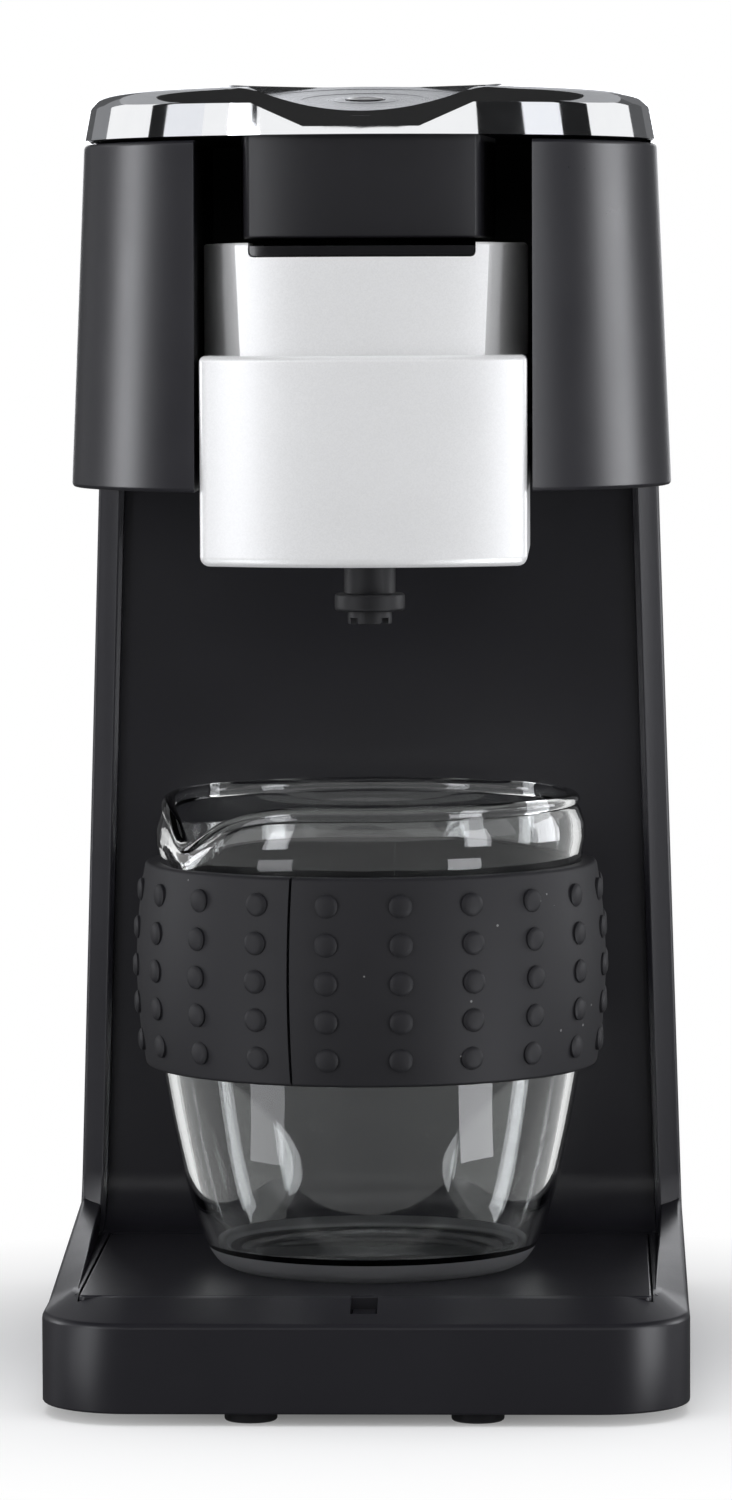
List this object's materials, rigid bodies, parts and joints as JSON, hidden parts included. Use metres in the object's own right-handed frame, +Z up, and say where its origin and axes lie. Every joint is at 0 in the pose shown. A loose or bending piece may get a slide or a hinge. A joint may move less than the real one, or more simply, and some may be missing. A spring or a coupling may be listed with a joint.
{
  "type": "capsule coffee machine",
  "caption": "Slim upright capsule coffee machine: black column on a flat base, chrome lift-up lid with a thumb dish, silver pull-out capsule drawer, and a glass cup in a studded sleeve.",
  "frame": {"origin": "on the table, under the middle of the base's outline", "axes": "+Z up, the front with drawer and cup faces -Y, +X to the right seen from the front"},
  "size_m": [0.135, 0.205, 0.2769],
  "materials": {
    "housing": "fine-grained satin black moulding",
    "inner_plastic": "plain black moulding",
    "gloss_black": "polished black",
    "silver_paint": "satin silver paint on plastic",
    "lid_chrome": "bright plating",
    "satin_metal": "fine concentric turning marks",
    "soft_rubber": "matt silicone rubber",
    "steel": "plain steel",
    "cast_aluminium": "as cast",
    "hose": "milky silicone",
    "tank_plastic": "smoky translucent",
    "board": "solder mask",
    "light_plastic": "plain white",
    "glass": "clear pressed glass"
  },
  "bodies": {
    "machine": {"front_housing": "housing", "rear_cover": "housing", "tank_shelf": "inner_plastic", "bottom_plate": "inner_plastic", "rubber_feet": "soft_rubber", "base_screws": "steel", "head_shell": "housing", "head_floor": "inner_plastic", "brew_chamber": "inner_plastic", "top_deck": "inner_plastic", "deck_screws": "steel", "lid_bumpers": "soft_rubber", "hinge_pins": "steel", "water_tank": "tank_plastic", "flow_heater": "cast_aluminium", "thermostat": "inner_plastic", "thermal_fuse": "steel", "water_pump": "inner_plastic", "inlet_hose": "hose", "pump_hose": "hose", "riser_hose": "hose", "dock_port": "inner_plastic", "dock_seal": "soft_rubber", "control_board": "board", "lid_switch": "inner_plastic", "cord_gland": "soft_rubber", "terminal_block": "light_plastic"},
    "lid": {"lid_cover": "lid_chrome", "lid_dish": "satin_metal", "lid_inner_plate": "inner_plastic", "lid_drum": "gloss_black", "lid_elbow": "inner_plastic", "inlet_needle": "steel", "needle_gasket": "soft_rubber", "button_switch": "inner_plastic"},
    "button": {"brew_button": "gloss_black"},
    "drawer": {"drawer_tub": "silver_paint", "capsule_collar": "silver_paint", "capsule_cup": "gloss_black", "exit_needle": "steel", "brew_funnel": "inner_plastic", "outlet_nozzle": "inner_plastic"},
    "tray": {"drip_tray": "housing"},
    "cup": {"glass_cup": "glass", "cup_sleeve": "soft_rubber"}
  },
  "joints": [
    {"name": "lid_hinge", "type": "hinge", "parent": "machine", "child": "lid", "pos_m": [0, 0.0884, 0.2689], "axis": [-1, 0, 0], "range_deg": [0, 95]},
    {"name": "button_press", "type": "slide", "parent": "lid", "child": "button", "axis": [0, 0.1288, -0.9917], "range_m": [0, 0.0012], "stiffness_N_per_m": 400},
    {"name": "drawer_slide", "type": "slide", "parent": "machine", "child": "drawer", "axis": [0, -1, 0], "range_m": [0, 0.045]},
    {"name": "tray_lift", "type": "slide", "parent": "machine", "child": "tray", "axis": [0, 0, 1], "range_m": [0, 0.012]},
    {"name": "cup_pull", "type": "slide", "parent": "tray", "child": "cup", "axis": [0, -0.9962, 0.0872], "range_m": [0, 0.13]}
  ]
}
